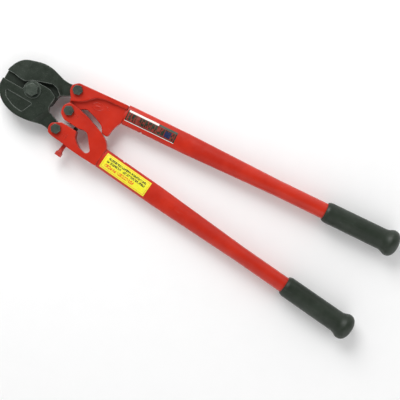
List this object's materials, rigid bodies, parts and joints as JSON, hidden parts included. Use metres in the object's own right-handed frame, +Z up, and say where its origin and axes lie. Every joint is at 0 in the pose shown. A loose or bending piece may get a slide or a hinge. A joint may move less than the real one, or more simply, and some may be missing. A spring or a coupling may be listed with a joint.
{
  "type": "compound-lever bolt cutter",
  "caption": "Long-handled compound-lever cutter with round shearing jaws, cast fittings, oval-to-round tube handles and flared grips.",
  "frame": {"origin": "under the middle of the closed tool, on the surface it lies on", "axes": "+Z up through the flat of the tool, +X from the jaws to the grips, +Y towards the upper handle"},
  "size_m": [0.6162, 0.177, 0.039],
  "materials": {
    "red_paint": "glossy enamel over castings and tube",
    "screw_paint": "enamel, thin over the threads",
    "blackened_blade": "forged and black-oxide finished",
    "blackened_fastener": "black-oxide steel",
    "vinyl_grip": "satin vinyl",
    "yellow_label": "printed film",
    "dark_label": "printed film",
    "nylon": "natural"
  },
  "bodies": {
    "lower_handle": {"lower_tube": "red_paint", "lower_grip": "vinyl_grip", "lower_label": "yellow_label", "lower_fitting": "red_paint", "lower_tail_bolt": "blackened_fastener", "lower_tail_nut": "blackened_fastener", "lower_tail_nut_insert": "nylon", "handle_pivot_bolt": "blackened_fastener", "handle_pivot_nut": "blackened_fastener", "handle_pivot_nut_insert": "nylon"},
    "upper_handle": {"upper_tube": "red_paint", "upper_grip": "vinyl_grip", "upper_label": "dark_label", "upper_fitting": "red_paint", "upper_tail_bolt": "blackened_fastener", "upper_tail_nut": "blackened_fastener", "upper_tail_nut_insert": "nylon"},
    "lower_blade": {"lower_blade": "blackened_blade", "blade_pivot_bolt": "blackened_fastener", "blade_pivot_washer": "blackened_fastener", "blade_pivot_nut": "blackened_fastener", "blade_pivot_nut_insert": "nylon"},
    "upper_blade": {"upper_blade": "blackened_blade"},
    "adjusting_screw": {"adjusting_screw": "screw_paint"}
  },
  "joints": [
    {"name": "handles_open", "type": "hinge", "parent": "lower_handle", "child": "upper_handle", "pos_m": [-0.20144, 0.00392, 0.0195], "axis": [0, 0, 1], "range_deg": [0, 80]},
    {"name": "lower_blade_turn", "type": "hinge", "parent": "lower_handle", "child": "lower_blade", "pos_m": [-0.20494, -0.02788, 0.0195], "axis": [0, 0, 1], "range_deg": [0, 48.5]},
    {"name": "blades_open", "type": "hinge", "parent": "lower_blade", "child": "upper_blade", "pos_m": [-0.26194, 0.00392, 0.0195], "axis": [0, 0, 1], "range_deg": [-16.8, 0]},
    {"name": "screw_turn", "type": "hinge", "parent": "lower_handle", "child": "adjusting_screw", "pos_m": [-0.18144, -0.01173, 0.0195], "axis": [-0.0872, -0.9962, 0], "range_deg": [-360, 360]}
  ],
  "couplings": [
    {"joint": "lower_blade_turn", "follows": "handles_open", "ratio": 0.604},
    {"joint": "blades_open", "follows": "handles_open", "ratio": -0.208}
  ]
}
